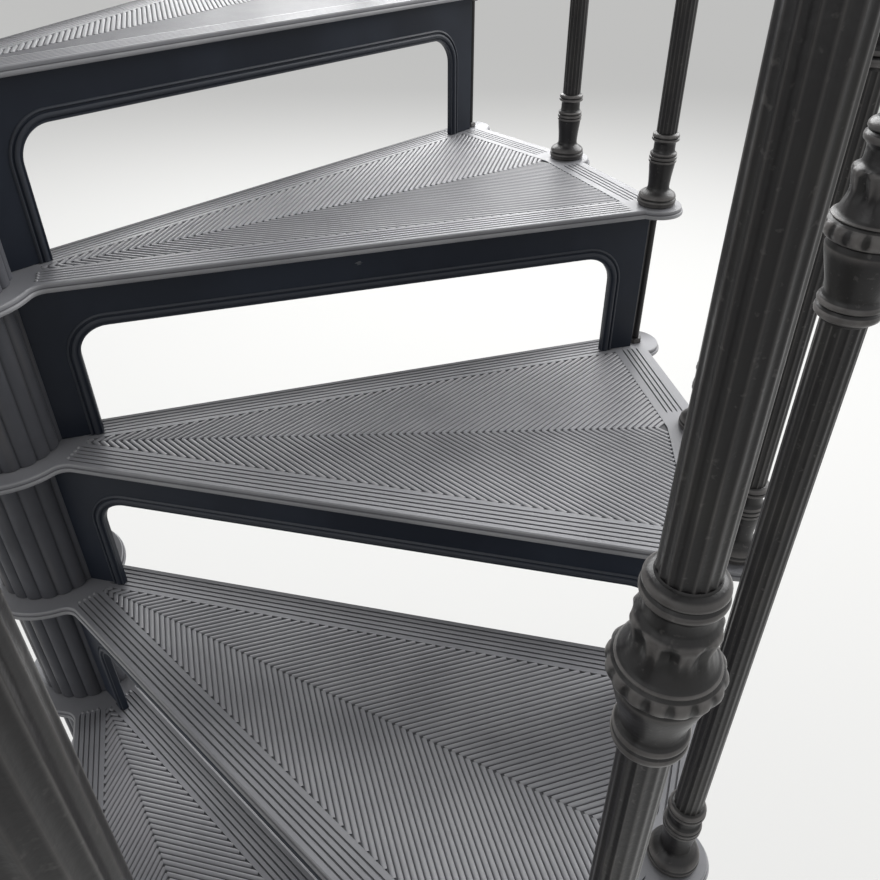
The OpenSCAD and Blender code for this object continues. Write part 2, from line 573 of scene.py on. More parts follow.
@dataclass(frozen=True)
class TreadPaint(Paint):
    """Satin charcoal paint, paler on the rib crests, where feet have worn them and as painted highlight, and
    darker in the grooves, for dirt and painted shade.

    Attributes:
        pale: Colour of the faded clouds and specks.
        dirt_and_shade_colour: Colour of the dirt and painted shade in the grooves.
        speck_scale: How fine the specks are.
        dimple_scale: How fine the dimples of the casting are.
    """

    paint: Colour = (0.225, 0.227, 0.243, 1)
    wear_and_highlight: Colour = (0.44, 0.44, 0.45, 1)
    cloud_scale: float = 9
    grain_scale: float = 900
    gloss: float = 0.42
    sheen: float = 0.5
    bump: tuple[float, float] = (0.22, 0.0002)
    pale: Colour = (0.310, 0.312, 0.330, 1)
    dirt_and_shade_colour: Colour = (0.030, 0.030, 0.034, 1)
    speck_scale: float = 420
    dimple_scale: float = 160

    def build(self) -> bpy.types.Material:
        """Makes the material.

        Returns:
            The material.
        """
        g = Graph(Slot.TREAD.value)
        wear_and_highlight, dirt_and_shade = g.wear_and_painted_light()
        cloud = g.noise(self.cloud_scale, 4).ramp(0.35, 0.68)
        speck = g.noise(self.speck_scale, 2).ramp(0.60, 0.74)
        top = g.blend(cloud * 0.55 + speck * 0.25, self.paint, self.pale)
        # Crests painted paler for wear and painted highlight; grooves and the back border painted darker for
        # dirt and painted shade.
        rubbed_and_highlit = g.blend(wear_and_highlight * (cloud * 0.35 + 0.25), top, self.wear_and_highlight)
        colour = g.blend(dirt_and_shade * 0.72, rubbed_and_highlit, self.dirt_and_shade_colour)
        grain = g.noise(self.grain_scale, 3) * 0.6 + g.noise(self.dimple_scale, 2) * 0.4
        return self.coat(g, colour, self.gloss + cloud * 0.08 + dirt_and_shade * 0.2, grain)


@dataclass(frozen=True)
class RiserPaint(Paint):
    """Blue-black satin paint with a few pale scuffs, paler on the moulding crests for wear and painted
    highlight, and plainer dark in the hollows for dirt and painted shade.

    Attributes:
        faded: Colour of the faded clouds.
        scuff: Colour of the scuffs.
        scuff_scale: How fine the scuffs are.
        scuff_stretch: Factor on their frequency along each axis.
    """

    paint: Colour = (0.010, 0.014, 0.024, 1)
    wear_and_highlight: Colour = (0.070, 0.076, 0.090, 1)
    cloud_scale: float = 7
    grain_scale: float = 500
    gloss: float = 0.42
    sheen: float = 0.25
    bump: tuple[float, float] = (0.2, 0.0002)
    faded: Colour = (0.020, 0.026, 0.040, 1)
    scuff: Colour = (0.22, 0.23, 0.24, 1)
    scuff_scale: float = 24
    scuff_stretch: Sequence[float] = (1, 1, 2.4)

    def build(self) -> bpy.types.Material:
        """Makes the material.

        Returns:
            The material.
        """
        g = Graph(Slot.RISER.value)
        wear_and_highlight, dirt_and_shade = g.wear_and_painted_light()
        cloud = g.noise(self.cloud_scale, 4).ramp(0.35, 0.7)
        # Moulding crests painted paler for wear and painted highlight; hollows kept dark for dirt and painted
        # shade.
        base = g.blend(wear_and_highlight * 0.8, g.blend(cloud * (1 - dirt_and_shade), self.paint, self.faded), self.wear_and_highlight)
        scuffs = g.noise(self.scuff_scale, 5, self.scuff_stretch, 0.6).ramp(0.725, 0.75)
        colour = g.blend(scuffs * 0.55, base, self.scuff)
        return self.coat(g, colour, self.gloss + cloud * 0.10 + scuffs * 0.2, g.noise(self.grain_scale, 3))


@dataclass(frozen=True)
class ColumnPaint(Paint):
    """Charcoal paint with faint brownish streaks that run down, paler on the reed crests for wear and painted
    highlight, and darker in the grooves for dirt and painted shade.

    Attributes:
        dark: Colour of the dark clouds, and of the dirt and painted shade in the grooves.
        streak_scale: How fine the streaks are.
        streak_stretch: Factor on their frequency along each axis.
    """

    paint: Colour = (0.105, 0.108, 0.122, 1)
    wear_and_highlight: Colour = (0.165, 0.156, 0.151, 1)
    cloud_scale: float = 14
    grain_scale: float = 420
    gloss: float = 0.48
    sheen: float = 0.3
    bump: tuple[float, float] = (0.25, 0.0003)
    dark: Colour = (0.050, 0.052, 0.059, 1)
    streak_scale: float = 60
    streak_stretch: Sequence[float] = (1, 1, 0.06)

    def build(self) -> bpy.types.Material:
        """Makes the material.

        Returns:
            The material.
        """
        g = Graph(Slot.COLUMN.value)
        wear_and_highlight, dirt_and_shade = g.wear_and_painted_light()
        streaks = g.noise(self.streak_scale, 3, self.streak_stretch).ramp(0.48, 0.72)
        cloud = g.noise(self.cloud_scale, 4).ramp(0.4, 0.75)
        # Reed crests painted paler for wear and painted highlight; grooves painted darker for dirt and
        # painted shade.
        streaked = g.blend(streaks * 0.55 + wear_and_highlight * 0.3, self.paint, self.wear_and_highlight)
        colour = g.blend((cloud * 0.45).most(dirt_and_shade * 0.6), streaked, self.dark)
        grain = g.noise(self.grain_scale, 3) * 0.7 + streaks * 0.3
        return self.coat(g, colour, self.gloss + cloud * 0.12, grain)


@dataclass(frozen=True)
class BalusterPaint(Paint):
    """Weathered black-brown paint, mottled with olive grey, paler on its crests for wear and painted
    highlight, and darker in its hollows for dirt and painted shade.

    Attributes:
        olive: Colour of the clouds.
        dirt_and_shade_colour: Colour of the dirt and painted shade in the grooves.
        speck_scale: How fine the pale specks are.
        cloud_stretch: Factor on the clouds' frequency along each axis.
    """

    paint: Colour = (0.012, 0.011, 0.012, 1)
    wear_and_highlight: Colour = (0.30, 0.285, 0.275, 1)
    cloud_scale: float = 38
    grain_scale: float = 340
    gloss: float = 0.31
    sheen: float = 0.35
    bump: tuple[float, float] = (0.35, 0.0004)
    olive: Colour = (0.027, 0.026, 0.022, 1)
    dirt_and_shade_colour: Colour = (0.006, 0.006, 0.006, 1)
    speck_scale: float = 260
    cloud_stretch: Sequence[float] = (1, 1, 0.5)

    def build(self) -> bpy.types.Material:
        """Makes the material.

        Returns:
            The material.
        """
        g = Graph(Slot.BALUSTER.value)
        wear_and_highlight, dirt_and_shade = g.wear_and_painted_light()
        cloud = g.noise(self.cloud_scale, 5, self.cloud_stretch).ramp(0.42, 0.72)
        speck = g.noise(self.speck_scale, 3).ramp(0.62, 0.74)
        # Hollows painted darker for dirt and painted shade; crests paler for wear and painted highlight.
        mottled = g.blend(dirt_and_shade * 0.7, g.blend(cloud * 0.5, self.paint, self.olive), self.dirt_and_shade_colour)
        colour = g.blend(speck * 0.15 + wear_and_highlight * (cloud * 0.35 + 0.35), mottled, self.wear_and_highlight)
        return self.coat(g, colour, self.gloss + cloud * 0.12, g.noise(self.grain_scale, 4))


@dataclass(frozen=True)
class RailPaint(Paint):
    """Smooth black paint, polished by hands."""

    paint: Colour = (0.016, 0.016, 0.017, 1)
    wear_and_highlight: Colour = (0.055, 0.050, 0.044, 1)
    cloud_scale: float = 22
    grain_scale: float = 220
    gloss: float = 0.26
    sheen: float = 0.5
    bump: tuple[float, float] = (0.15, 0.0002)

    def build(self) -> bpy.types.Material:
        """Makes the material.

        Returns:
            The material.
        """
        g = Graph(Slot.RAIL.value)
        wear_and_highlight, _ = g.wear_and_painted_light()
        cloud = g.noise(self.cloud_scale, 4).ramp(0.45, 0.7)
        colour = g.blend(cloud * 0.4 + wear_and_highlight * 0.5, self.paint, self.wear_and_highlight)
        return self.coat(g, colour, self.gloss + cloud * 0.14, g.noise(self.grain_scale, 3))


class Pattern(Nodes):
    """A Geometry Nodes tree with named inputs, which makes a mesh."""

    def __init__(self, name: str, template: Draft, sizes: dict[str, float | int]) -> None:
        """Starts a tree.

        Args:
            name: The tree's name.
            template: The shape that it repeats or bends.
            sizes: Its other inputs and their values.
        """
        super().__init__(bpy.data.node_groups.new(name, "GeometryNodeTree"))
        self.template = bpy.data.objects.new(name, template.to_mesh(name))
        self.sizes = {"Template": self.template, **sizes}
        kinds = {int: "NodeSocketInt", float: "NodeSocketFloat"}
        for way in ("INPUT", "OUTPUT"):
            self.tree.interface.new_socket("Geometry", in_out=way, socket_type="NodeSocketGeometry")
        for key, value in self.sizes.items():
            self.tree.interface.new_socket(key, in_out="INPUT",
                                           socket_type=kinds.get(type(value), "NodeSocketObject"))
        self.source = self.node("NodeGroupInput")
        self.sink = self.node("NodeGroupOutput")

    def size(self, name: str) -> Value:
        """One of the tree's named inputs."""
        return Value(self, self.source.outputs[name])

    def shape(self) -> Socket:
        """The template's geometry."""
        found = self.node("GeometryNodeObjectInfo", None, {"Object": self.size("Template")})
        return found.outputs["Geometry"]

    def index(self) -> Value:
        """Number of the point."""
        return Value(self, self.node("GeometryNodeInputIndex").outputs[0])

    def position(self) -> list[Value]:
        """The point's own X, Y and Z."""
        return self.split(self.node("GeometryNodeInputPosition").outputs[0])

    def lay(self, points: Socket, spin: Value | float,
            scale: Socket | Sequence[float] = (1, 1, 1)) -> Socket:
        """Lays the template on points, turned about Z and scaled.

        Args:
            points: The points.
            spin: Angle of the turn.
            scale: Factor along each axis of the template.

        Returns:
            The copies, as instances.
        """
        turned = self.node("FunctionNodeEulerToRotation", None, {0: self.vector(z=spin)})
        return self.node("GeometryNodeInstanceOnPoints", None,
                         {"Points": points, "Instance": self.shape(), "Rotation": turned.outputs[0],
                          "Scale": scale}).outputs[0]

    def run(self, shape: Socket, material: bpy.types.Material) -> Draft:
        """Ends the tree, runs it once and returns what it makes.

        Args:
            shape: The geometry that the tree makes.
            material: The finish that it sets.

        Returns:
            The plain mesh, with its instances realized, as a draft.
        """
        real = self.node("GeometryNodeRealizeInstances", None, {"Geometry": shape})
        dressed = self.node("GeometryNodeSetMaterial", None,
                            {"Geometry": real.outputs[0], "Material": material})
        self.feed(self.sink.inputs[0], dressed.outputs[0])
        holder = bpy.data.objects.new(self.tree.name, bpy.data.meshes.new(self.tree.name))
        bpy.context.scene.collection.objects.link(holder)
        modifier = holder.modifiers.new("nodes", "NODES")
        modifier.node_group = self.tree
        items = self.tree.interface.items_tree
        sockets = {item.name: item.identifier for item in items if item.in_out == "INPUT"}
        for key, value in self.sizes.items():
            modifier[sockets[key]] = value
        bpy.context.view_layer.update()
        plain = bpy.data.meshes.new_from_object(holder.evaluated_get(bpy.context.evaluated_depsgraph_get()))
        holder.modifiers.clear()
        bpy.data.objects.remove(holder)
        bpy.data.objects.remove(self.template)
        return Draft().absorb_mesh(plain)


def climb(name: str, template: Draft, layout: Layout, first: int, material: bpy.types.Material) -> Draft:
    """Repeats a shape up the stair, one on each step, by a Geometry Nodes tree.

    Args:
        name: The tree's name.
        template: The shape, in a step's own frame.
        layout: Where the steps stand.
        first: The first step that gets one.
        material: The finish.

    Returns:
        All the copies.
    """
    tree = Pattern(name, template, {"First": first, "Count": layout.steps + 1 - first, "Turn": layout.turn,
                                    "Rise": layout.rise})
    step = tree.index() + tree.size("First")
    points = tree.node("GeometryNodePoints", None, {"Count": tree.size("Count"),
                                                    "Position": tree.vector(z=step * tree.size("Rise"))})
    return tree.run(tree.lay(points.outputs[0], (step - 1) * tree.size("Turn")), material)


@dataclass(frozen=True)
class Tread:
    """A fan-shaped tread with a collar, three ears, grooved borders and a ribbed chevron field.

    Attributes:
        edge_over: Overhang of the front and back edges past the line of their ears.
        outer_over: Overhang of the outer edge past the line between its ears.
        ear_r: Radius of the round ears.
        collar_r: Radius of the collar round the column.
        blend_r: Radius of the hollow curve from the collar to the front edge.
        post_r: Radius of the hole for the centre post.
        field_depth: Depth of the sunk field.
        border_w: Width of the front and back borders.
        outer_border_w: Width of the outer border.
        collar_border_w: Smooth ring between the collar and the field.
        rib_pitch: Distance from one rib to the next, square to them.
        rib_trim: Gap between a rib's end and the border.
        rib_least: Shortest rib.
        rib_lean: Angle between the ribs and the tread's middle line.
        groove_pitch: Distance from one border groove to the next.
        groove_w: Width of a border groove.
        groove_tip: Length over which a groove narrows to its end.
        side_grooves: Number of grooves in the front and back borders.
        outer_grooves: Number of grooves in the outer border.
        outer_groove_in: Distance of the first of those from the outer edge.
        nib_r: Radius of the raised bead at the collar end of each ridge.
        nib_h: Height of that bead.
        back_dirt_and_shade: How much darker the back border is painted, on which the next riser stands: dirt,
            and painted shade under the next tread.
        ear_gap: Distance from the grooves of the front and back borders to the ears.
        collar_gap: Distance from those grooves, and from the nibs' middles, to the collar's edge.
        outer_groove_ends: Distances from the ear lines to the ends of the outer border's grooves: at a
            corner of the tread, and at the mid ear.
        nib_shares: Section of a nib, as shares of its radius and height.
        nib_points: Number of points round a nib.
        rim_tone_reach: Reach and depth by which the rim's crests and hollows are found, painted lighter and
            darker for wear and dirt and as painted highlight and shade.
        rib_tones: Tone at the top of a rib, and how much it grows over the field's depth; the tops are
            painted lighter and the feet darker, for wear and dirt and as painted highlight and shade.
        rim: Section of the plate's edge, as distance inwards and height, with its thin stepped lip.
        groove: Section of a groove's wall, as distance inwards, height and tone; the tones paint it darker
            towards its floor, for dirt and painted shade.
        pocket: Section of the field's wall, with tones that paint it darker towards its floor, for dirt and
            painted shade.
        rib: Section of a rib, as distance across and height.
    """

    layout: Layout
    material: bpy.types.Material
    edge_over: float = 0.023
    outer_over: float = 0.012
    ear_r: float = 0.035
    collar_r: float = 0.089
    blend_r: float = 0.018
    post_r: float = 0.0243
    field_depth: float = 0.002
    border_w: float = 0.043
    outer_border_w: float = 0.049
    collar_border_w: float = 0.004
    rib_pitch: float = 0.0061
    rib_trim: float = 0.0010
    rib_least: float = 0.003
    rib_lean: float = math.pi / 4
    groove_pitch: float = 0.0066
    groove_w: float = 0.0022
    groove_tip: float = 0.005
    side_grooves: int = 5
    outer_grooves: int = 4
    outer_groove_in: float = 0.0175
    nib_r: float = 0.0021
    nib_h: float = 0.0013
    back_dirt_and_shade: float = 0.95
    ear_gap: float = 0.004
    collar_gap: float = 0.0005
    outer_groove_ends: tuple[float, float] = (0.020, 0.033)
    nib_shares: Profile = ((1, -0.5), (1, 0), (0.92, 0.45), (0.66, 0.8), (0.3, 1))
    nib_points: int = 10
    rim_tone_reach: tuple[float, float] = (0.0014, 0.0004)
    rib_tones: tuple[float, float] = (0.6, 1.5)
    rim: Profile = (
        (0.0014, -0.0100), (0.0004, -0.0097), (0.0, -0.0090), (0.0, -0.0064), (0.0007, -0.0054),
        (0.0021, -0.0050), (0.0022, -0.0034), (0.0022, -0.0022), (0.0026, -0.0009), (0.0038, 0.0))
    groove: Pocket = ((0, 0, 0), (0.00025, -0.0004, -0.6), (0.0006, -0.0012, -1))
    pocket: Pocket = ((0, 0, 0), (0.0003, -0.0005, -0.5), (0.0007, -0.0020, -1))
    rib: Profile = (
        (-0.0026, -0.0021), (0.0026, -0.0021), (0.0025, -0.0009), (0.0019, -0.0003), (0.0009, 0.0),
        (-0.0009, 0.0), (-0.0019, -0.0003), (-0.0025, -0.0009))

    def ear(self, share: float) -> np.ndarray:
        """Centre of the ear at a share of the tread's angle."""
        return self.layout.ear_radius * direction(share * self.layout.turn)

    def outline(self) -> np.ndarray:
        """The plate's outline, counter-clockwise from the back edge's end at the collar.

        Returns:
            The points in the plan.
        """
        turn, bend = self.layout.turn, self.layout.turn / 4
        reach, drop = self.collar_r + self.blend_r, self.edge_over + self.blend_r
        along = math.sqrt(reach ** 2 - drop ** 2)
        fall = math.asin(drop / reach)
        side = math.asin(self.edge_over / self.ear_r)
        opened = math.acos(self.outer_over / self.ear_r)
        full = 2 * math.pi
        back = turn + math.asin(self.edge_over / self.collar_r)
        return np.vstack((
            arc((0, 0), self.collar_r, back, full - fall, 60)[:-1],
            arc((along, -drop), self.blend_r, math.pi - fall, math.pi / 2, 9),
            arc(self.ear(0), self.ear_r, math.pi + side, full + bend + opened, 36),
            arc(self.ear(0.5), self.ear_r, bend - opened, 3 * bend + opened, 26),
            arc(self.ear(1), self.ear_r, 3 * bend - opened, turn + math.pi - side, 36)))

    def fan(self, side_in: float, outer_in: float) -> list[np.ndarray]:
        """Corners of the fan with its edges moved inwards: front, bend and back.

        Args:
            side_in: Distance inwards of the front and back edges.
            outer_in: Distance inwards of the outer edge.

        Returns:
            The three corners.
        """
        bend, square = self.layout.turn / 4, math.pi / 2
        angles = (square, bend, 3 * bend, self.layout.turn + square)
        normals = np.array([direction(angle) for angle in angles])
        side, outer = side_in - self.edge_over, self.outer_over - outer_in
        reach = np.array([side, normals[1] @ self.ear(0) + outer, normals[2] @ self.ear(1) + outer, -side])
        return [np.linalg.solve(normals[i:i + 2], reach[i:i + 2]) for i in range(len(reach) - 1)]

    def field(self) -> np.ndarray:
        """Outline of the sunk field, counter-clockwise.

        Returns:
            The points in the plan.
        """
        radius = self.collar_r + self.collar_border_w
        swing = math.asin((self.border_w - self.edge_over) / radius)
        start = arc((0, 0), radius, self.layout.turn - swing, swing, 6)
        return np.vstack((start, *self.fan(self.border_w, self.outer_border_w)))

    def lozenge(self, low: np.ndarray, high: np.ndarray) -> np.ndarray:
        """Outline of a groove between two points, counter-clockwise, narrowing to both ends.

        Args:
            low: One end.
            high: The other end.

        Returns:
            The points in the plan.
        """
        along = (high - low) / np.linalg.norm(high - low)
        side = np.array([-along[1], along[0]]) * self.groove_w / 2
        tip = along * self.groove_tip
        return np.array([low, low + tip - side, high - tip - side, high, high - tip + side, low + tip + side])

    def grooves(self) -> list[np.ndarray]:
        """Outlines of all the border grooves.

        Returns:
            One outline a groove.
        """
        made = []
        turn = self.layout.turn
        end = self.layout.ear_radius - self.ear_r - self.ear_gap
        for k in range(self.side_grooves):
            y = (k - (self.side_grooves - 1) / 2) * self.groove_pitch
            start = math.sqrt((self.collar_r + self.collar_gap) ** 2 - y ** 2)
            for angle in (0.0, turn):
                out, up = direction(angle), direction(angle + math.pi / 2)
                made.append(self.lozenge(start * out + y * up, end * out + y * up))
        reach = math.sin(turn / 4) * self.layout.ear_radius
        base = math.cos(turn / 4) * self.layout.ear_radius + self.outer_over - self.outer_groove_in
        corner, middle_ear = self.outer_groove_ends
        for share, low, high in ((0.25, corner - reach, reach - middle_ear),
                                 (0.75, middle_ear - reach, reach - corner)):
            out, along = direction(share * turn), direction(share * turn + math.pi / 2)
            for k in range(self.outer_grooves):
                middle = (base - k * self.groove_pitch) * out
                made.append(self.lozenge(middle + low * along, middle + high * along))
        return made

    def plate(self) -> Draft:
        """The plate with its stepped rim, sunk field and grooves, in the step's own frame.

        Returns:
            The draft, in a step's own frame.
        """
        draft = Draft()
        outline = self.outline()
        rings = [at_height(inset(outline, d), z) for d, z in self.rim]
        # The rim's crests are painted lighter and its hollows darker: wear and dirt, and painted highlight
        # and shade.
        wear_and_painted_light = relief([(-d, z) for d, z in self.rim], *self.rim_tone_reach)
        draft.loft(rings, capped=False, tones=wear_and_painted_light[:, None])
        post = arc((0, 0), self.post_r, 0, 2 * math.pi, 33)[:-1]
        low, high = self.rim[0][1], self.rim[-1][1]
        draft.loft([at_height(post, z) for z in (low, high)], capped=False)
        self.cap(draft, [rings[0][:, :2], post], low)
        field, grooves = self.field(), self.grooves()
        self.cap(draft, [rings[-1][:, :2], post, field, *grooves], high)
        self.sink(draft, field, self.pocket)
        for groove in grooves:
            self.sink(draft, groove, self.groove)
        # The back border is painted darker towards the back edge: dirt, and painted shade under the next
        # tread.
        gap = self.edge_over - draft.points[:, :2] @ direction(self.layout.turn + math.pi / 2)
        draft.tones = draft.tones - self.back_dirt_and_shade * np.clip(1 - gap / self.border_w, 0, 1)
        return draft

    @staticmethod
    def cap(draft: Draft, loops: list[np.ndarray], z: float) -> None:
        """Fills the first loop, with the others as holes, by triangles at height z.

        Args:
            draft: Where the triangles go.
            loops: The face's edge and its holes.
            z: The face's height.
        """
        points = np.vstack(loops)
        edges, start = [], 0
        for loop in loops:
            size = len(loop)
            edges += [(start + i, start + (i + 1) % size) for i in range(size)]
            start += size
        found = geometry.delaunay_2d_cdt([Vector(p) for p in points], edges, [], 1, 1e-7)
        flat = np.array([tuple(v) for v in found[0]])
        triangles = np.array(found[2])
        middles = flat[triangles].mean(axis=1)
        keep = inside(middles, loops[0])
        for loop in loops[1:]:
            keep &= ~inside(middles, loop)
        draft.add(at_height(flat, z), triangles[keep])

    @staticmethod
    def sink(draft: Draft, loop: np.ndarray, levels: Pocket) -> None:
        """Adds the walls and floor of a pocket whose mouth is a loop in the top.

        Args:
            draft: Where the pocket goes.
            loop: Its mouth.
            levels: Section of its wall, from the mouth down.
        """
        rings = [at_height(inset(loop, d), z) for d, z, _ in levels]
        walls = Draft()
        # The tones paint the pocket darker towards its floor: dirt and painted shade.
        walls.loft(rings, tones=np.array([tone for _, _, tone in levels])[:, None])
        walls.faces.pop(-2)
        draft.absorb(walls)

    def ribs(self) -> Draft:
        """The chevron ribs of the field, repeated along the tread's middle line by a tree.

        Returns:
            The draft, in a step's own frame.
        """
        section = np.array(self.rib)
        template = Draft()
        # Rib tops are painted lighter and rib feet darker: wear and dirt, and painted highlight and shade.
        crest, growth = self.rib_tones
        template.loft([np.column_stack((np.full(len(section), x), section)) for x in (0.0, 1.0)],
                      tones=growth * (section[:, 1] / self.field_depth) + crest)
        half, bend, lean = self.layout.turn / 2, self.layout.turn / 4, self.rib_lean
        reach = math.cos(bend) * self.layout.ear_radius + self.outer_over - self.outer_border_w
        spacing = self.rib_pitch / math.sin(lean)
        first = self.collar_r + self.collar_border_w + self.rib_trim
        tree = Pattern("chevron_ribs", template, {
            "Count": int((reach / math.cos(bend) - first) / spacing), "First": first, "Spacing": spacing,
            "Apex": (self.border_w - self.edge_over) / math.sin(half), "Reach": reach, "Trim": self.rib_trim,
            "Shortest": self.rib_least})
        points = tree.node("GeometryNodePoints", None, {
            "Count": tree.size("Count"),
            "Position": tree.vector(tree.index() * tree.size("Spacing") + tree.size("First"))})
        along = tree.position()[0]
        widening = math.tan(half) / (math.sin(lean) - math.cos(lean) * math.tan(half))
        to_side = (along - tree.size("Apex")) * widening
        to_outer = (tree.size("Reach") - along * math.cos(bend)) * (1 / math.cos(lean - bend))
        length = to_side.least(to_outer) - tree.size("Trim")
        short = tree.node("FunctionNodeCompare", {"data_type": "FLOAT", "operation": "LESS_THAN"},
                          {"A": length, "B": tree.size("Shortest")})
        kept = tree.node("GeometryNodeDeleteGeometry", {"domain": "POINT"},
                         {"Geometry": points.outputs[0], "Selection": short.outputs[0]})
        join = tree.node("GeometryNodeJoinGeometry")
        for spin in (lean, -lean):
            tree.feed(join.inputs[0], tree.lay(kept.outputs[0], spin, tree.vector(length, 1.0, 1.0)))
        return Draft().absorb(tree.run(join.outputs[0], self.material), Matrix.Rotation(half, 4, "Z"))

    def nibs(self) -> Draft:
        """The small raised ends of the border's ridges at the collar.

        Returns:
            The draft, in a step's own frame.
        """
        bead = Draft()
        bead.lathe([(r * self.nib_r, h * self.nib_h) for r, h in self.nib_shares], self.nib_points)
        # The nibs are painted lighter all over: wear and painted highlight.
        bead.tones[:] = 1
        draft = Draft()
        ridges = self.side_grooves - 1
        for k in range(ridges):
            y = (k - (ridges - 1) / 2) * self.groove_pitch
            x = math.sqrt(self.collar_r ** 2 - y ** 2) - self.collar_gap
            draft.absorb(bead, Matrix.Translation((x, y, 0)))
        return Draft().absorb(draft).absorb(draft, Matrix.Rotation(self.layout.turn, 4, "Z"))

    def build(self) -> None:
        """Makes all the treads."""
        pattern = Draft().absorb(self.plate()).absorb(self.ribs()).absorb(self.nibs())
        for step in range(1, self.layout.steps + 1):
            piece = Draft().absorb(pattern, self.layout.place(step))
            piece.fit(f"tread_plate_{step:02d}", f"tread_{step:02d}", Slot.TREAD, self.material)
        log.info("treads: %d plates of %d faces", self.layout.steps, len(pattern.faces))


@dataclass(frozen=True)
class Riser:
    """A cast panel on two legs, with a moulding round its opening.

    Attributes:
        base_t: Thickness of the base flange, on which the first one's inner leg stands.
        inner: Distance of the panel's inner end from the axis.
        outer: Distance of its outer end.
        front: Place of its front face, square to the step's front line.
        thick: Thickness of the panel.
        opening_left: Where the opening begins.
        opening_right: Where it ends.
        fascia: Depth of the fascia under the tread top.
        corner_r: Radius of the opening's upper corners.
        chamfer: Width of the panel's chamfered edges.
        corner_points: Number of points on each of those corners.
        leg_lap: How far past the opening's edge the inner leg's moulding reaches.
        moulding_tone_reach: Reach and depth by which the moulding's crests and hollows are found, painted
            lighter and darker for wear and dirt and as painted highlight and shade.
        moulding: Section of the moulding, as distance from the opening and height over the panel.
    """

    layout: Layout
    material: bpy.types.Material
    base_t: float
    inner: float = 0.0615
    outer: float = 0.815
    front: float = -0.012
    thick: float = 0.008
    opening_left: float = 0.110
    opening_right: float = 0.768
    fascia: float = 0.060
    corner_r: float = 0.036
    chamfer: float = 0.0008
    corner_points: int = 15
    leg_lap: float = 0.001
    moulding_tone_reach: tuple[float, float] = (0.0016, 0.0006)
    moulding: Profile = (
        (0.0003, -0.0006), (0.0003, 0.0006), (0.0010, 0.0011), (0.0020, 0.0008), (0.0030, 0.0006),
        (0.0040, 0.0018), (0.0056, 0.0028), (0.0076, 0.0029), (0.0093, 0.0020), (0.0102, 0.0004),
        (0.0112, 0.0002), (0.0119, 0.0013), (0.0130, 0.0019), (0.0141, 0.0014), (0.0150, 0.0002),
        (0.0150, -0.0006))

    def path(self, grow: float, foot: float) -> np.ndarray:
        """Edge of the opening, pushed outwards, from the inner foot over the top to the outer foot.

        Args:
            grow: How far it is pushed.
            foot: Height of the feet.

        Returns:
            The points, as distance from the axis and height.
        """
        radius = self.corner_r + grow
        left, right, top = self.opening_left - grow, self.opening_right + grow, grow - self.fascia
        inner = arc((left + radius, top - radius), radius, math.pi, math.pi / 2, self.corner_points)
        outer = arc((right - radius, top - radius), radius, math.pi / 2, 0, self.corner_points)
        return np.vstack(([[left, foot]], inner, outer, [[right, foot]]))

    def stand(self, points: np.ndarray, height: float) -> np.ndarray:
        """Stands points of a drawing up, at a height over the panel's front face."""
        return np.column_stack((points[:, 0], np.full(len(points), self.front - height), points[:, 1]))

    def panel(self, foot: float) -> Draft:
        """The flat panel with its two legs, chamfered all round.

        Args:
            foot: Height of the feet.

        Returns:
            The draft, in a step's own frame.
        """
        top = -self.layout.tread_t
        outline = np.vstack(([[self.inner, foot]], self.path(0, foot),
                             [[self.outer, foot], [self.outer, top], [self.inner, top]]))
        draft = Draft()
        levels = ((self.chamfer, -self.thick), (0.0, self.chamfer - self.thick), (0.0, -self.chamfer),
                  (self.chamfer, 0.0))
        draft.loft([self.stand(inset(outline, d), h) for d, h in levels])
        return draft

    def trim(self, foot: float) -> Draft:
        """The moulding, swept round the opening, with crests painted lighter and hollows darker: wear and
        dirt, and painted highlight and shade.

        Args:
            foot: Height of the feet.

        Returns:
            The draft, in a step's own frame.
        """
        draft = Draft()
        rows = [self.stand(self.path(grow, foot), height) for grow, height in self.moulding]
        # Crests painted lighter and hollows darker: wear and dirt, and painted highlight and shade.
        wear_and_painted_light = relief([(height, grow) for grow, height in self.moulding], *self.moulding_tone_reach)
        draft.loft([np.array([row[i] for row in rows]) for i in range(len(rows[0]))], tones=wear_and_painted_light)
        return draft

    def build(self) -> None:
        """Makes all the risers. The first one's inner leg stands on the base flange."""
        foot = -self.layout.rise
        seat = foot + self.base_t
        leg = self.opening_left + self.leg_lap
        pattern = Draft().absorb(self.panel(foot)).absorb(self.trim(foot))
        for step in range(1, self.layout.steps + 1):
            piece = Draft().absorb(pattern)
            if step == 1:
                low = (piece.points[:, 0] < leg) & (piece.points[:, 2] < seat)
                piece.points[low, 2] = seat
            placed = Draft().absorb(piece, self.layout.place(step))
            placed.fit(f"riser_panel_{step:02d}", f"riser_{step:02d}", Slot.RISER, self.material)
        log.info("risers: %d panels", self.layout.steps)


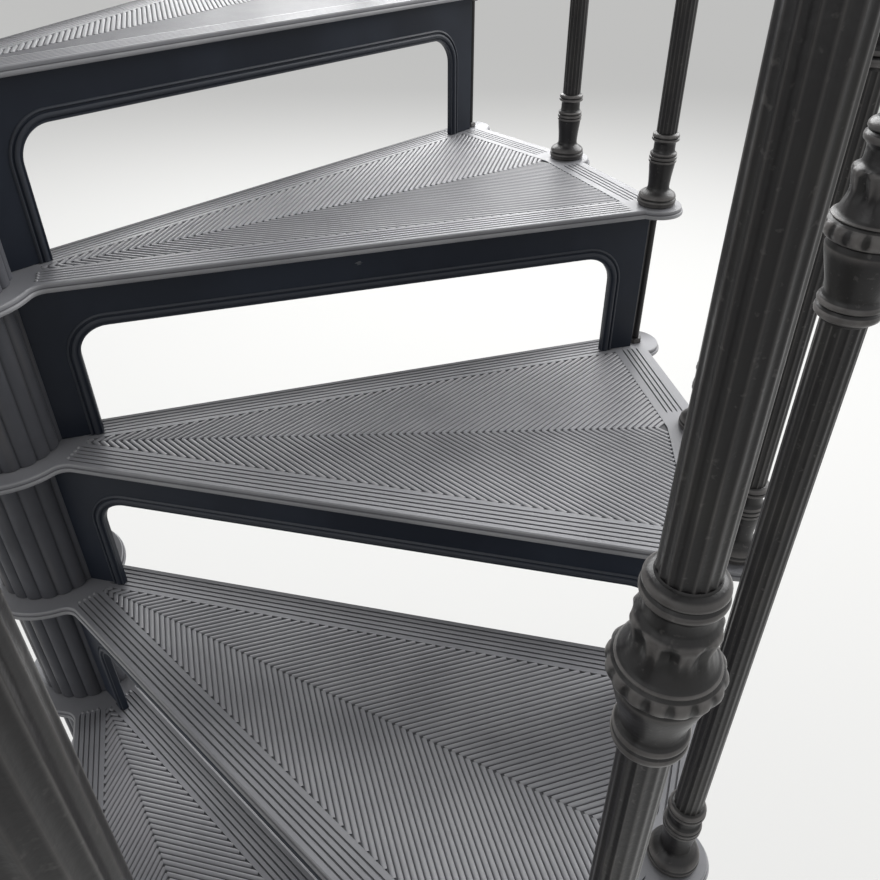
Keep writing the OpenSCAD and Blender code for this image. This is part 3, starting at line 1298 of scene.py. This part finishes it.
@dataclass(frozen=True)
class Column:
    """The reeded drums, their cap, the base flange and the ties between the ears.

    Attributes:
        drum_r: Radius of the drums.
        bore_r: Radius of their bore.
        soft: Width of the softened edge at a drum's ends.
        reeds: Number of broad reeds round a drum.
        groove_depth: Depth of the narrow grooves between them.
        groove_start: Angle of the first groove.
        reed_points: Places across one reed, from a groove at -1 to the crest at 0.
        reed_power: How flat the reeds are: 2 is a parabola, and more is flatter.
        drum_tones: Tone on the crest of a reed, and how much it falls to the groove; crests are painted
            lighter and grooves darker, for wear and dirt and as painted highlight and shade.
        tie_r: Radius of the ties.
        nut_r: Radius of their nuts.
        nut_h: Height of their nuts.
        nut_soft: Width of the nuts' chamfers.
        base_r: Radius of the base flange.
        base_t: Thickness of the base flange.
        base_soft: Width of its lower chamfer.
        base_chamfer: Width of its upper chamfer.
        base_eye_r: Radius, under the first drum, from which its top is one flat face.
        bolt_circle_r: Radius of the circle of floor bolts.
        bolts: Number of floor bolts.
        bolt_turn: Angle of the first bolt's head.
        base_points: Number of points round the flange.
        cap_points: Number of points round the cap.
        crease: Edges sharper than this angle, in degrees, stay sharp.
        cap_h: Height of the cap.
        cap_shares: Section of the cap, as shares of the drum's radius and the cap's height.
        washer: Section of a bolt's washer.
        head: Section of a bolt's head.
    """

    layout: Layout
    material: bpy.types.Material
    tie_material: bpy.types.Material
    drum_r: float = 0.064
    bore_r: float = 0.050
    soft: float = 0.0012
    reeds: int = 20
    groove_depth: float = 0.0032
    groove_start: float = math.radians(2)
    reed_points: tuple[float, ...] = (-1, -0.93, -0.82, -0.62, -0.32, 0, 0.32, 0.62, 0.82, 0.93)
    reed_power: float = 2.6
    drum_tones: tuple[float, float] = (0.3, 1.3)
    tie_r: float = 0.005
    nut_r: float = 0.0095
    nut_h: float = 0.007
    nut_soft: float = 0.001
    base_r: float = 0.115
    base_t: float = 0.014
    base_soft: float = 0.001
    base_chamfer: float = 0.003
    base_eye_r: float = 0.020
    bolt_circle_r: float = 0.094
    bolts: int = 4
    bolt_turn: float = 0.3
    base_points: int = 72
    cap_points: int = 64
    crease: float = 30
    cap_h: float = 0.042
    cap_shares: Profile = (
        (0.985, 0), (1, 0.03), (1, 0.12), (0.975, 0.165), (0.93, 0.18), (0.90, 0.22), (0.86, 0.36),
        (0.76, 0.53), (0.62, 0.69), (0.45, 0.81), (0.30, 0.875), (0.25, 0.885), (0.235, 0.93), (0.19, 0.97),
        (0.10, 0.995), (0.03, 1))
    washer: Profile = ((0.0105, 0), (0.0105, 0.0016), (0.0070, 0.0016), (0.0068, 0.0010))
    head: Profile = ((0.0085, 0.0014), (0.0085, 0.0066), (0.0076, 0.0076), (0.0020, 0.0076))

    def drum_ring(self) -> np.ndarray:
        """Outline of a reeded drum, counter-clockwise.

        Returns:
            The points in the plan.
        """
        across = np.tile(self.reed_points, self.reeds)
        crests = np.repeat(np.arange(self.reeds) + 0.5, len(self.reed_points))
        angles = (crests + across / 2) * 2 * math.pi / self.reeds + self.groove_start
        radius = self.drum_r - self.groove_depth * np.abs(across) ** self.reed_power
        return radius[:, None] * np.column_stack((np.cos(angles), np.sin(angles)))

    def drum(self, foot: float, top: float) -> Draft:
        """A hollow reeded drum with softened ends, painted darker in its grooves for dirt and painted shade,
        and lighter on its crests for wear and painted highlight.

        Args:
            foot: Height of its foot.
            top: Height of its top.

        Returns:
            The draft, in a step's own frame.
        """
        base = self.drum_ring()
        angles = np.arctan2(base[:, 1], base[:, 0])
        bore = self.bore_r * np.column_stack((np.cos(angles), np.sin(angles)))
        small = base * (1 - self.soft / self.drum_r)
        rings = [(small, foot), (base, foot + self.soft), (base, top - self.soft), (small, top), (bore, top),
                 (bore, foot)]
        draft = Draft()
        crest, fall = self.drum_tones
        # Crests painted lighter, grooves darker: wear and dirt, and painted highlight and shade.
        wear_and_painted_light = (np.linalg.norm(base, axis=1) - self.drum_r) / self.groove_depth * fall + crest
        draft.loft([at_height(ring, z) for ring, z in rings], closed=True, tones=wear_and_painted_light)
        return draft

    def drums(self) -> Draft:
        """All the drums. The first one stands on the base flange.

        Returns:
            The drums in their places.
        """
        rise, top = self.layout.rise, -self.layout.tread_t
        first = Draft().absorb(self.drum(self.base_t - rise, top), self.layout.place(1))
        return first.absorb(climb("reeded_drums", self.drum(-rise, top), self.layout, 2, self.material))

    def cap(self) -> Draft:
        """The cap: a moulded lip and a dome with a small button.

        Returns:
            The cap in its place.
        """
        top = self.layout.steps * self.layout.rise
        draft = Draft()
        profile = [(r * self.drum_r, top + h * self.cap_h) for r, h in self.cap_shares]
        draft.lathe(profile, self.cap_points)
        return draft

    def flange(self) -> Draft:
        """The base flange, with a chamfered edge and its bolts.

        Returns:
            The flange in its place.
        """
        draft, washer, head = Draft(), Draft(), Draft()
        r, t = self.base_r, self.base_t
        draft.lathe([(r - self.base_soft, 0), (r, self.base_soft), (r, t - self.base_chamfer),
                     (r - self.base_chamfer, t), (self.base_eye_r, t)], self.base_points)
        washer.lathe(self.washer, 24)
        head.lathe(self.head, 6)
        for k in range(self.bolts):
            x, y = self.bolt_circle_r * direction((k + 0.5) * 2 * math.pi / self.bolts)
            draft.absorb(washer, Matrix.Translation((x, y, t)))
            draft.absorb(head, Matrix.Translation((x, y, t)) @ Matrix.Rotation(self.bolt_turn + k, 4, "Z"))
        return draft

    def ties(self) -> Draft:
        """The rods that tie each front ear to the tread below, with a nut at each end.

        Returns:
            The ties in their places.
        """
        rod, nut = Draft(), Draft()
        low, high = -self.layout.rise, -self.layout.tread_t
        r, h, soft = self.nut_r, self.nut_h, self.nut_soft
        rod.lathe([(self.tie_r, low), (self.tie_r, high)], 16)
        nut.lathe([(r - soft, 0), (r, soft), (r, h - soft), (r - soft, h)], 6)
        for foot in (low, high - h):
            rod.absorb(nut, Matrix.Translation((0, 0, foot)))
        placed = Draft().absorb(rod, Matrix.Translation((self.layout.ear_radius, 0, 0)))
        return climb("ear_ties", placed, self.layout, 1, self.tie_material)

    def build(self) -> None:
        """Makes the column's pieces and dresses the post inside."""
        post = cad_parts["centre_post"]
        post.data.materials.clear()
        post.data.materials.append(self.material)
        self.drums().fit("drum_stack", "column_drums", Slot.COLUMN, self.material, self.crease)
        self.cap().fit("cap_dome", "column_cap", Slot.COLUMN, self.material, self.crease)
        self.flange().fit("flange_plate", "base_flange", Slot.COLUMN, self.material, self.crease)
        self.ties().fit("tie_rod_set", "tie_rods", Slot.BALUSTER, self.tie_material)
        log.info("column: drums, cap, flange, ties and the post")


@dataclass(frozen=True)
class Baluster:
    """A turned baluster: a footed base, a fluted tube with a carved ornament, and a ball under the rail.

    Attributes:
        tube_r: Radius of the tube.
        ornament_mid: Height of the ornament's widest part over the tread, at a front ear.
        ornament_lift: How much higher it sits at a mid ear.
        rail_height: Height of the rail's underside over the tread, at a front ear.
        ball_r: Radius of the ball under the rail.
        flutes: Number of flutes round the tube.
        flute_turn: Angle of the first ridge between flutes.
        flute_depth: Depth of a flute.
        ridge_soft: How rounded the ridges between flutes are.
        leaves: Number of leaves on the ornament's bell.
        beads: Number of beads round its band.
        leaf_span: Heights between which the leaves rise, from the ornament's middle.
        leaf_swell: How far the leaves stand out, as a share of the radius.
        leaf_sink: How far the ground between them lies in.
        vein_share: Depth of their veins, as a share of the leaves' swell.
        bead_span: Heights between which the beads lie.
        bead_swell: How far the beads stand out, as a share of the radius.
        ball_span: Angles on the ball between which its section runs, from its foot.
        ball_rings: Number of rings on the ball.
        ball_gap: Gap between the ball and the rail's underside.
        lap: How far one stretch reaches into the next.
        crease: Edges sharper than this angle, in degrees, stay sharp.
        base: Section of the base, in millimetres.
        ornament: Section of the ornament, in millimetres.
        neck: Section of the neck, in millimetres, from the ball's middle.
    """

    layout: Layout
    material: bpy.types.Material
    tube_r: float = 0.0125
    ornament_mid: float = 0.492
    ornament_lift: float = 0.116
    rail_height: float = 0.900
    ball_r: float = 0.015
    flutes: int = 16
    flute_turn: float = math.radians(13.8)
    flute_depth: float = 0.0008
    ridge_soft: float = 0.03
    leaves: int = 8
    beads: int = 16
    leaf_span: tuple[float, float] = (0.0165, 0.0372)
    leaf_swell: float = 0.15
    leaf_sink: float = 0.10
    vein_share: float = 0.25
    bead_span: tuple[float, float] = (0.0010, 0.0108)
    bead_swell: float = 0.09
    ball_span: tuple[float, float] = (0.75, 3.05)
    ball_rings: int = 14
    ball_gap: float = 0.0003
    lap: float = 0.001
    crease: float = 40
    base: Profile = (
        (21.0, 0.0), (22.5, 0.8), (23.6, 2.6), (24.0, 5.0), (23.9, 7.2), (23.2, 8.5), (22.6, 8.9),
        (22.6, 9.5), (23.2, 9.9), (23.3, 11.0), (22.8, 12.6), (21.4, 14.4), (19.2, 16.0), (16.8, 17.4),
        (14.9, 18.8), (13.7, 20.4), (13.3, 22.4), (13.4, 27.0), (13.9, 34.0), (14.7, 42.0), (15.4, 48.0),
        (15.7, 52.4),
        (15.7, 53.2), (16.6, 53.6), (16.9, 54.8), (16.6, 56.0), (15.7, 56.5), (15.7, 57.3), (16.7, 57.8),
        (17.0, 59.2), (16.7, 60.6), (15.7, 61.1), (15.6, 61.8), (16.2, 62.4), (16.3, 63.6), (15.7, 64.8),
        (14.2, 65.8), (13.3, 67.2), (13.0, 69.5), (13.0, 75.5), (13.3, 77.6), (14.2, 78.8), (15.6, 79.2),
        (16.5, 80.0), (16.7, 81.2), (16.3, 82.4), (15.4, 82.9), (15.4, 83.5), (16.1, 84.0), (16.3, 85.2),
        (15.9, 86.6), (14.8, 87.6), (13.2, 88.3), (12.3, 88.8))
    ornament: Profile = (
        (12.3, -45.0), (12.6, -44.6), (12.7, -43.4), (13.6, -43.0), (15.6, -42.2), (16.9, -40.9),
        (17.3, -39.2), (17.0, -37.6), (16.0, -36.7), (15.6, -36.1), (16.0, -35.5), (16.9, -34.8),
        (17.1, -33.6), (16.6, -32.2), (15.6, -31.2), (14.9, -30.2), (14.8, -28.6), (15.2, -26.0),
        (16.2, -21.5), (17.8, -16.0), (19.3, -10.5), (20.4, -6.6), (20.7, -4.0), (20.2, -2.0), (19.9, -0.6),
        (20.6, 0.4), (22.6, 1.2), (23.8, 2.6),
        (24.4, 4.4), (24.5, 6.2), (24.1, 8.2), (23.1, 9.8), (21.9, 10.6), (21.4, 11.1), (21.9, 11.6),
        (21.8, 12.1), (21.0, 12.7), (20.0, 13.3), (19.3, 14.4), (18.5, 16.2), (17.5, 18.6), (16.7, 21.0),
        (16.3, 23.5), (16.5, 26.5), (17.1, 29.5), (17.8, 32.2), (18.1, 33.8), (17.7, 35.2), (16.3, 36.3),
        (15.0, 37.2), (14.4, 39.0), (14.3, 44.0), (14.6, 46.0), (15.8, 47.3), (17.0, 48.4), (17.3, 49.8),
        (17.0, 51.2), (16.0, 52.1), (15.7, 52.6), (16.1, 53.2), (16.7, 54.2), (16.6, 55.6), (15.6, 57.0),
        (14.0, 58.0), (12.8, 58.5), (12.6, 59.4), (12.3, 59.8))
    neck: Profile = (
        (11.5, -30.0), (14.2, -28.5), (14.8, -26.2), (14.0, -24.0), (11.8, -22.2), (10.0, -19.0),
        (10.0, -16.0))

    def fluting(self, angles: np.ndarray, _height: float) -> np.ndarray:
        """Shallow wide flutes between narrow soft ridges."""
        hollow = np.sqrt(np.sin((angles - self.flute_turn) * self.flutes / 2) ** 2 + self.ridge_soft)
        return 1 - self.flute_depth / self.tube_r * hollow

    def carving(self, angles: np.ndarray, height: float) -> np.ndarray:
        """Leaves on the bell over the band, and beads round the band.

        Args:
            angles: Angles round the axis.
            height: Height from the ornament's middle.

        Returns:
            Factor on the radius at each angle.
        """
        factor = np.ones(len(angles))
        low, high = self.leaf_span
        if low < height < high:
            share = (height - low) / (high - low)
            crest = np.abs(np.cos(angles * self.leaves / 2)) ** 0.7
            vein = self.vein_share * np.abs(np.cos(angles * self.leaves * 1.5))
            factor += math.sin(math.pi * share ** 1.3) * (self.leaf_swell * (crest - vein) - self.leaf_sink)
        low, high = self.bead_span
        if low < height < high:
            swell = math.sin(math.pi * (height - low) / (high - low))
            factor += self.bead_swell * swell * (np.abs(np.cos(angles * self.beads / 2)) ** 0.5 - 0.8)
        return factor

    def one(self, rail: float, ornament: float) -> Draft:
        """One baluster on its own axis.

        Args:
            rail: Height of the rail's underside at the axis.
            ornament: Height of the ornament's middle.

        Returns:
            The baluster's draft, as closed turned stretches that meet end to end.
        """
        draft, carved = Draft(), Draft()
        tilt = math.atan(self.layout.rise / (self.layout.ear_radius * self.layout.turn))
        ball = rail - (self.ball_r + self.ball_gap) / math.cos(tilt)
        base, section, neck = (np.array(part) * MILLIMETRE for part in (self.base, self.ornament, self.neck))
        # Every turned stretch, its carving and its flutes are painted lighter on crests and darker in
        # hollows: wear and dirt, and painted highlight and shade.
        draft.lathe(base, 56)
        carved.lathe(section, self.beads * 7, self.carving)
        draft.absorb(carved, Matrix.Translation((0, 0, ornament)))
        for low, high in ((base[-1][1] - self.lap, ornament + section[0][1] + self.lap),
                          (ornament + section[-1][1] - self.lap, ball - self.ball_r / 2)):
            draft.lathe([(self.tube_r, low), (self.tube_r, high)], self.flutes * 8, self.fluting)
        angles = np.linspace(*self.ball_span, self.ball_rings)[1:]
        sphere = self.ball_r * np.column_stack((np.sin(angles), -np.cos(angles)))
        draft.lathe(np.vstack((neck, sphere)) + (0, ball), 48)
        return draft

    def build(self) -> None:
        """Makes each step's balusters as one piece."""
        rise, turn = self.layout.rise, self.layout.turn
        spots = [(0.0, 0.0, 0.0), (0.5, rise / 2, self.ornament_lift), (1.0, rise, rise)]
        patterns = [self.one(self.rail_height + lift, self.ornament_mid + shift) for _, lift, shift in spots]
        for step in range(1, self.layout.steps + 1):
            draft = Draft()
            for (share, _, _), pattern in list(zip(spots, patterns))[:3 if step == self.layout.steps else 2]:
                ear = self.layout.ear_radius * direction(share * turn)
                draft.absorb(pattern, self.layout.place(step) @ Matrix.Translation((*ear, 0)))
            draft.fit(f"baluster_set_{step:02d}", f"balusters_{step:02d}", Slot.BALUSTER, self.material,
                      self.crease)
        log.info("balusters: %d sets, %d faces each", self.layout.steps, len(patterns[0].faces))


@dataclass(frozen=True)
class Handrail:
    """The helical handrail, in four stretches.

    Attributes:
        width: Width of the rail.
        height: Height of the rail.
        base: Height of the rail's underside over the first tread.
        parts: Number of stretches.
        rings: Rings along one stretch.
        section: The rail's section, as shares of its width and height, from its inner foot over the top.
    """

    layout: Layout
    material: bpy.types.Material
    width: float = 0.046
    height: float = 0.030
    base: float = 0.900
    parts: int = 4
    rings: int = 60
    section: Profile = (
        (0.40, 0.00), (0.45, 0.03), (0.455, 0.10), (0.43, 0.16), (0.43, 0.20), (0.475, 0.26), (0.50, 0.38),
        (0.495, 0.52), (0.46, 0.68), (0.38, 0.84), (0.25, 0.95), (0.09, 1.0), (-0.09, 1.0), (-0.25, 0.95),
        (-0.38, 0.84), (-0.46, 0.68), (-0.495, 0.52), (-0.50, 0.38), (-0.475, 0.26), (-0.43, 0.20),
        (-0.43, 0.16), (-0.455, 0.10), (-0.45, 0.03), (-0.40, 0.00))

    def stretch(self, part: int) -> Draft:
        """One stretch: a straight strip of the section, bent along the helix by a tree.

        Args:
            part: Number of the stretch, from zero at the foot of the stair.

        Returns:
            The stretch in its place.
        """
        section = np.array(self.section) * (self.width, self.height)
        strip = Draft()
        strip.loft([np.column_stack((np.full(len(section), share), section))
                    for share in np.linspace(0, 1, self.rings + 1)],
                   tones=np.clip(section[:, 1] / self.height * 2 - 1, 0, 1))
        span = self.layout.steps * self.layout.turn / self.parts
        tree = Pattern("helix_rail", strip, {
            "Radius": self.layout.ear_radius, "Start": part * span, "Span": span,
            "Height": self.base + self.layout.rise, "Climb": self.layout.rise / self.layout.turn})
        along, across, up = tree.position()
        angle = along * tree.size("Span") + tree.size("Start")
        radius = across + tree.size("Radius")
        bent = tree.node("GeometryNodeSetPosition", None, {"Geometry": tree.shape(), "Position": tree.vector(
            radius * angle.math("COSINE", angle), radius * angle.math("SINE", angle),
            up + tree.size("Height") + angle * tree.size("Climb"))})
        return tree.run(bent.outputs[0], self.material)

    def build(self) -> None:
        """Makes the stretches."""
        for part in range(self.parts):
            name = f"rail_stretch_{part + 1}"
            self.stretch(part).fit(name, f"handrail_{part + 1}", Slot.RAIL, self.material)
        log.info("handrail: %d stretches", self.parts)


@dataclass(frozen=True)
class Lamp:
    """A large soft lamp that faces the middle of the stair.

    Attributes:
        name: Its name.
        azimuth: Where it stands in the plan, in degrees.
        elevation: How high it stands, in degrees.
        distance: Its distance from the middle of the stair.
        width: Its width.
        height: Its height.
        power: Its power.
        aim: Height of the stair's middle.
    """

    name: str
    azimuth: float
    elevation: float
    distance: float
    width: float
    height: float
    power: float
    aim: float = 1.3

    def build(self) -> None:
        """Makes the lamp."""
        data = bpy.data.lights.new(self.name, "AREA")
        data.shape = "RECTANGLE"
        data.size, data.size_y, data.energy = self.width, self.height, self.power
        made = bpy.data.objects.new(self.name, data)
        a, e = math.radians(self.azimuth), math.radians(self.elevation)
        away = Vector((math.cos(a) * math.cos(e), math.sin(a) * math.cos(e), math.sin(e)))
        made.location = Vector((0, 0, self.aim)) + away * self.distance
        made.rotation_mode = "QUATERNION"
        made.rotation_quaternion = (-away).to_track_quat("-Z", "Y")
        bpy.context.scene.collection.objects.link(made)


@dataclass(frozen=True)
class Studio:
    """The pale floor, the soft light and the camera.

    Attributes:
        eye: The camera's place.
        heading: Direction in which it looks, in the plan.
        pitch: How far it looks down.
        roll: How far it leans.
        focal: Focal length as a multiple of the picture's width.
        sensor: Width of the camera's sensor, in millimetres.
        clip: Nearest and farthest distance that the camera sees.
        floor_size: Width of the floor.
        floor_colour: Colour of the floor.
        floor_roughness: Its roughness.
        floor_sheen: Its specular level.
        floor_glow: Share of the floor that stays pale, whatever light falls on it.
        ambient: Strength of the soft light from all round.
        lamps: The lamps.
    """

    eye: tuple[float, float, float] = (-0.2630, 0.8943, 1.7672)
    heading: float = math.radians(252.985)
    pitch: float = math.radians(35.99)
    roll: float = math.radians(-0.23)
    focal: float = 812.589 / 880
    sensor: float = 36
    clip: tuple[float, float] = (0.02, 100)
    floor_size: float = 30.0
    floor_colour: Colour = (0.74, 0.74, 0.73, 1)
    floor_roughness: float = 0.9
    floor_sheen: float = 0.1
    floor_glow: float = 0.6
    ambient: float = 0.25
    lamps: tuple[Lamp, ...] = (Lamp("window", 253, 36, 5.0, 4.0, 3.8, 350),
                               Lamp("side_window", 196, 30, 5.0, 3.4, 3.0, 190),
                               Lamp("fill", 30, 40, 5.0, 3.0, 3.0, 30))

    def camera(self) -> None:
        """Makes the scene's camera."""
        data = bpy.data.cameras.new("camera")
        data.sensor_width = self.sensor
        data.lens = self.focal * self.sensor
        data.clip_start, data.clip_end = self.clip
        made = bpy.data.objects.new("camera", data)
        x, y = math.cos(self.pitch) * direction(self.heading)
        turn = Vector((x, y, -math.sin(self.pitch))).to_track_quat("-Z", "Y").to_matrix().to_4x4()
        made.matrix_world = Matrix.Translation(self.eye) @ turn @ Matrix.Rotation(self.roll, 4, "Z")
        bpy.context.scene.collection.objects.link(made)
        bpy.context.scene.camera = made

    def floor(self) -> None:
        """Makes the pale floor, which keeps the stair's shadow."""
        half = self.floor_size / 2
        draft = Draft()
        draft.add(half * np.array([[-1, -1, 0], [1, -1, 0], [1, 1, 0], [-1, 1, 0]]), [(0, 1, 2, 3)])
        g = Graph("pale_floor")
        material = g.finish(self.floor_colour, self.floor_roughness, Specular_IOR_Level=self.floor_sheen)
        glow = g.node("ShaderNodeEmission", None, {"Color": self.floor_colour, "Strength": 1.0})
        mix = g.node("ShaderNodeMixShader", None,
                     {0: g.seen() * self.floor_glow, 1: g.shader.outputs[0], 2: glow.outputs[0]})
        g.feed(g.tree.nodes["Material Output"].inputs["Surface"], mix.outputs[0])
        draft.to_object("floor", material)

    def world(self) -> None:
        """A plain soft world, white where it is seen."""
        world = bpy.data.worlds.new("soft_world")
        bpy.context.scene.world = world
        world.use_nodes = True
        nodes = Nodes(world.node_tree)
        back = world.node_tree.nodes["Background"]
        back.inputs["Color"].default_value = (1, 1, 1, 1)
        nodes.feed(back.inputs["Strength"], nodes.seen() * (1 - self.ambient) + self.ambient)

    def build(self) -> None:
        """Makes the studio."""
        self.camera()
        self.floor()
        self.world()
        for lamp in self.lamps:
            lamp.build()
        bpy.context.scene.view_settings.view_transform = "Standard"
        log.info("studio: camera, floor and %d lamps", len(self.lamps))


def main() -> None:
    """Builds the stair's sub-assemblies in order, then the studio."""
    logging.basicConfig(level=logging.INFO, format="%(name)s: %(message)s")
    layout = Layout.from_frame()
    iron, dark_iron = ColumnPaint().build(), BalusterPaint().build()
    column = Column(layout, iron, dark_iron)
    Tread(layout, TreadPaint().build()).build()
    Riser(layout, RiserPaint().build(), column.base_t).build()
    column.build()
    Baluster(layout, dark_iron).build()
    Handrail(layout, RailPaint().build()).build()
    Studio().build()


if __name__ == "__main__":
    main()
